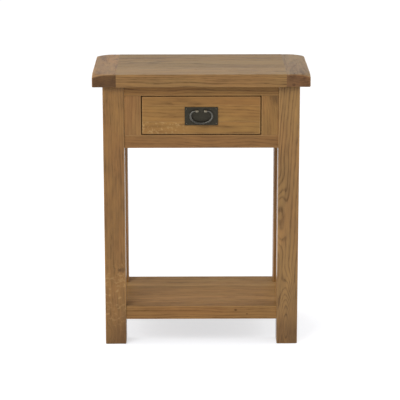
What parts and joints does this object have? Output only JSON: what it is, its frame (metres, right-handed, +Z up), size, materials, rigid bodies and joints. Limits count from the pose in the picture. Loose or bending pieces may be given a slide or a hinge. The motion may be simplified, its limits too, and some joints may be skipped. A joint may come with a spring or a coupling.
{
  "type": "telephone table",
  "caption": "Small rustic oak telephone table with a thick overhanging top, square legs, one drawer with an iron bail pull, and a low shelf.",
  "frame": {"origin": "on the floor, under the middle of the top", "axes": "+Z up; the drawer front and the handle look along -Y; +X to the right of someone facing the drawer"},
  "size_m": [0.6, 0.33, 0.78],
  "materials": {
    "oak_leg": "stained and waxed oak, grain upright, arrises softened by hand",
    "oak_frame": "stained and waxed oak",
    "oak_top": "stained and waxed oak with a low sheen",
    "oak_cleat": "stained and waxed oak, dark end grain at the front and back",
    "oak_shelf": "stained and waxed oak",
    "oak_drawer": "stained and waxed oak, a yellower board",
    "oak_inside": "plain sanded oak, unstained",
    "blackened_iron": "dark blackened iron, slightly uneven",
    "worn_iron": "dark iron rubbed bright where it is handled",
    "steel": "plain zinc-plated steel"
  },
  "bodies": {
    "table": {"leg_front_left": "oak_leg", "leg_front_right": "oak_leg", "leg_rear_left": "oak_leg", "leg_rear_right": "oak_leg", "side_apron_left": "oak_frame", "side_apron_right": "oak_frame", "back_apron": "oak_frame", "front_rail_top": "oak_frame", "front_rail_bottom": "oak_frame", "front_stile_left": "oak_frame", "front_stile_right": "oak_frame", "drawer_runner_left": "oak_inside", "drawer_runner_right": "oak_inside", "drawer_guide_left": "oak_inside", "drawer_guide_right": "oak_inside", "drawer_stop_left": "oak_inside", "drawer_stop_right": "oak_inside", "drawer_kicker_left": "oak_inside", "drawer_kicker_right": "oak_inside", "top_screw_front_left": "steel", "top_screw_front_right": "steel", "top_screw_rear_left": "steel", "top_screw_rear_right": "steel", "top_board_front": "oak_top", "top_board_middle": "oak_top", "top_board_back": "oak_top", "top_cleat_left": "oak_cleat", "top_cleat_right": "oak_cleat", "shelf_board_front": "oak_shelf", "shelf_board_middle": "oak_shelf", "shelf_board_back": "oak_shelf", "shelf_dowel_front_left": "oak_inside", "shelf_dowel_front_right": "oak_inside", "shelf_dowel_rear_left": "oak_inside", "shelf_dowel_rear_right": "oak_inside"},
    "drawer": {"drawer_front": "oak_drawer", "drawer_side_left": "oak_inside", "drawer_side_right": "oak_inside", "drawer_back": "oak_inside", "drawer_bottom": "oak_inside", "drawer_bottom_screw_1": "steel", "drawer_bottom_screw_2": "steel", "drawer_bottom_screw_3": "steel", "handle_backplate": "blackened_iron", "handle_post_left": "worn_iron", "handle_post_right": "worn_iron", "handle_nut_left": "steel", "handle_nut_right": "steel", "handle_tack_upper_left": "blackened_iron", "handle_tack_upper_right": "blackened_iron", "handle_tack_lower_left": "blackened_iron", "handle_tack_lower_right": "blackened_iron"},
    "bail": {"handle_bail": "worn_iron"}
  },
  "joints": [
    {"name": "drawer_slide", "type": "slide", "parent": "table", "child": "drawer", "axis": [0, -1, 0], "range_m": [0, 0.19]},
    {"name": "bail_swing", "type": "hinge", "parent": "drawer", "child": "bail", "pos_m": [0, -0.1539, 0.6752], "axis": [-1, 0, 0], "range_deg": [0, 95]}
  ]
}
